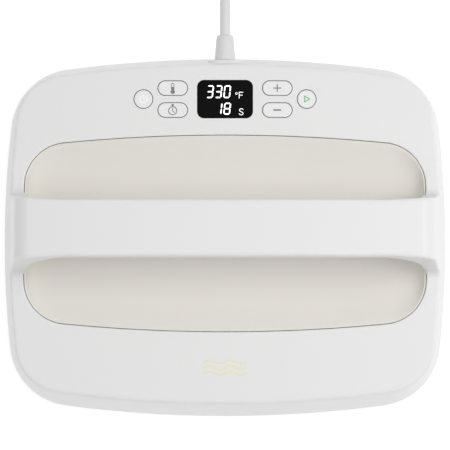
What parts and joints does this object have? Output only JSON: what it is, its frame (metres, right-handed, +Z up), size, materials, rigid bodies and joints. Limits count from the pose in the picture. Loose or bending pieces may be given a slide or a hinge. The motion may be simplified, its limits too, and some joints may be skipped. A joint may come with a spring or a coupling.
{
  "type": "heat press",
  "caption": "Hand-held rectangular heat press: flared white housing, full-width strap handle over a dished well, button panel with display, mains cord and plug.",
  "frame": {"origin": "centre of the footprint on the table, under the middle of the heated plate", "axes": "+X to the right along the handle, +Y towards the panel and the cord, +Z up"},
  "size_m": [0.328, 0.4513, 0.118],
  "materials": {
    "white_shell": "fine satin moulded plastic",
    "cream_liner": "soft-touch cream plastic",
    "button_white": "satin",
    "black_gloss": "polished black window",
    "black_plastic": "satin",
    "gasket_rubber": "matte silicone",
    "zinc_screw": "zinc plated",
    "circuit_board": "solder mask",
    "lamp_lens": "clear lens",
    "transformer_core": "varnished",
    "capacitor_sleeve": "shrink sleeve",
    "bare_aluminium": "extruded",
    "fuse_glass": "clear",
    "coated_plate": "dark non-stick coating on aluminium",
    "element_steel": "heat-stained steel",
    "shield_steel": "aluminised sheet",
    "ceramic_bead": "unglazed ceramic",
    "ceramic_blanket": "needled fibre felt",
    "brass_sensor": "machined",
    "lead_insulation": "silicone sleeve",
    "ribbon_grey": "flat cable",
    "cord_grey": "satin light grey PVC",
    "tie_fabric": "woven hook-and-loop strap",
    "plug_brass": "nickel-bright brass"
  },
  "bodies": {
    "press": {"top_shell": "white_shell", "base_housing": "white_shell", "well_tray": "cream_liner", "grip_underside": "cream_liner", "plate_gasket": "gasket_rubber", "housing_screws": "zinc_screw", "tray_screws": "zinc_screw", "grip_screws": "zinc_screw", "display_window": "black_gloss", "display_module": "black_plastic", "control_board": "circuit_board", "control_board_screws": "zinc_screw", "switch_bodies": "black_plastic", "indicator_lamps": "lamp_lens", "sounder": "black_plastic", "power_board": "circuit_board", "power_board_screws": "zinc_screw", "supply_transformer": "transformer_core", "filter_capacitor": "capacitor_sleeve", "power_triac": "black_plastic", "triac_heat_sink": "bare_aluminium", "mains_fuse": "fuse_glass", "sole_plate": "coated_plate", "heating_element": "element_steel", "element_terminals": "ceramic_bead", "insulation_blanket": "ceramic_blanket", "heat_shield": "shield_steel", "plate_spacers": "element_steel", "plate_screws": "zinc_screw", "shield_screws": "zinc_screw", "temperature_sensor": "brass_sensor", "thermal_fuse": "element_steel", "mains_leads": "lead_insulation", "element_leads": "lead_insulation", "sensor_leads": "lead_insulation", "ribbon_cable": "ribbon_grey", "strain_relief": "cord_grey", "cord_clamp": "black_plastic", "clamp_screws": "zinc_screw", "power_cord": "cord_grey", "cord_coil": "cord_grey", "cord_tail": "cord_grey", "cord_tie": "tie_fabric", "plug_body": "cord_grey", "plug_blades": "plug_brass"},
    "power_key": {"power_button": "button_white", "power_switch_plunger": "black_plastic"},
    "start_key": {"start_button": "button_white", "start_switch_plunger": "black_plastic"},
    "temperature_key": {"temperature_button": "button_white", "temperature_switch_plunger": "black_plastic"},
    "timer_key": {"timer_button": "button_white", "timer_switch_plunger": "black_plastic"},
    "plus_key": {"plus_button": "button_white", "plus_switch_plunger": "black_plastic"},
    "minus_key": {"minus_button": "button_white", "minus_switch_plunger": "black_plastic"}
  },
  "joints": [
    {"name": "power_press", "type": "slide", "parent": "press", "child": "power_key", "axis": [0, 0, -1], "range_m": [0, 0.0006], "stiffness_N_per_m": 400, "springref_m": -0.0005},
    {"name": "start_press", "type": "slide", "parent": "press", "child": "start_key", "axis": [0, 0, -1], "range_m": [0, 0.0006], "stiffness_N_per_m": 400, "springref_m": -0.0005},
    {"name": "temperature_press", "type": "slide", "parent": "press", "child": "temperature_key", "axis": [0, 0, -1], "range_m": [0, 0.0006], "stiffness_N_per_m": 400, "springref_m": -0.0005},
    {"name": "timer_press", "type": "slide", "parent": "press", "child": "timer_key", "axis": [0, 0, -1], "range_m": [0, 0.0006], "stiffness_N_per_m": 400, "springref_m": -0.0005},
    {"name": "plus_press", "type": "slide", "parent": "press", "child": "plus_key", "axis": [0, 0, -1], "range_m": [0, 0.0006], "stiffness_N_per_m": 400, "springref_m": -0.0005},
    {"name": "minus_press", "type": "slide", "parent": "press", "child": "minus_key", "axis": [0, 0, -1], "range_m": [0, 0.0006], "stiffness_N_per_m": 400, "springref_m": -0.0005}
  ]
}
